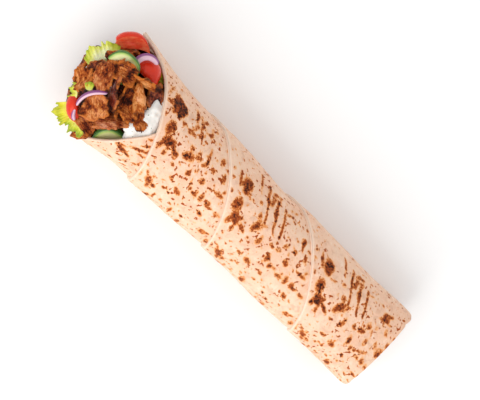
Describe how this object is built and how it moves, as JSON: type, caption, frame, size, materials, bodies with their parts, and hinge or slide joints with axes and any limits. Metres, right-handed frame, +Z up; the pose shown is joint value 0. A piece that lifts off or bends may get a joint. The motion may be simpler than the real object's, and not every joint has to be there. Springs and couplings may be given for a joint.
{
  "type": "doner kebab sandwich",
  "caption": "Doner kebab rolled in a spiral flatbread wrap: meat slices, tomato, cucumber, onion, lettuce and white sauce heaped at the open mouth, closed flat end.",
  "frame": {"origin": "middle of the narrow flat strip that the wrap rests on, on its underside", "axes": "+X along the wrap towards its closed end (the open mouth faces -X), +Y across it, +Z up out of the side that shows the mouth's notch"},
  "size_m": [0.2571, 0.0701, 0.0674],
  "materials": {
    "bread": "floury baked flatbread with brown scorch marks",
    "meat": "browned roast meat, moist and slightly glossy",
    "tomato": "wet red tomato",
    "cucumber": "moist pale flesh with dark green skin",
    "onion": "raw red onion, purple skin side and pale flesh",
    "lettuce": "crisp yellow-green leaf",
    "sauce": "white yoghurt sauce"
  },
  "bodies": {
    "root": {"flatbread": "bread", "meat_core": "meat", "meat_slice_1": "meat", "meat_slice_2": "meat", "meat_slice_3": "meat", "meat_slice_4": "meat", "meat_slice_5": "meat", "meat_slice_6": "meat", "meat_slice_7": "meat", "meat_slice_8": "meat", "meat_slice_9": "meat", "meat_slice_10": "meat", "meat_slice_11": "meat", "meat_slice_12": "meat", "meat_slice_13": "meat", "meat_slice_14": "meat", "meat_slice_15": "meat", "meat_slice_16": "meat", "tomato_1": "tomato", "tomato_2": "tomato", "tomato_3": "tomato", "onion_1": "onion", "onion_2": "onion", "onion_3": "onion", "cucumber_1": "cucumber", "cucumber_2": "cucumber", "lettuce_1": "lettuce", "lettuce_2": "lettuce", "lettuce_3": "lettuce", "lettuce_4": "lettuce", "sauce": "sauce"}
  },
  "joints": []
}
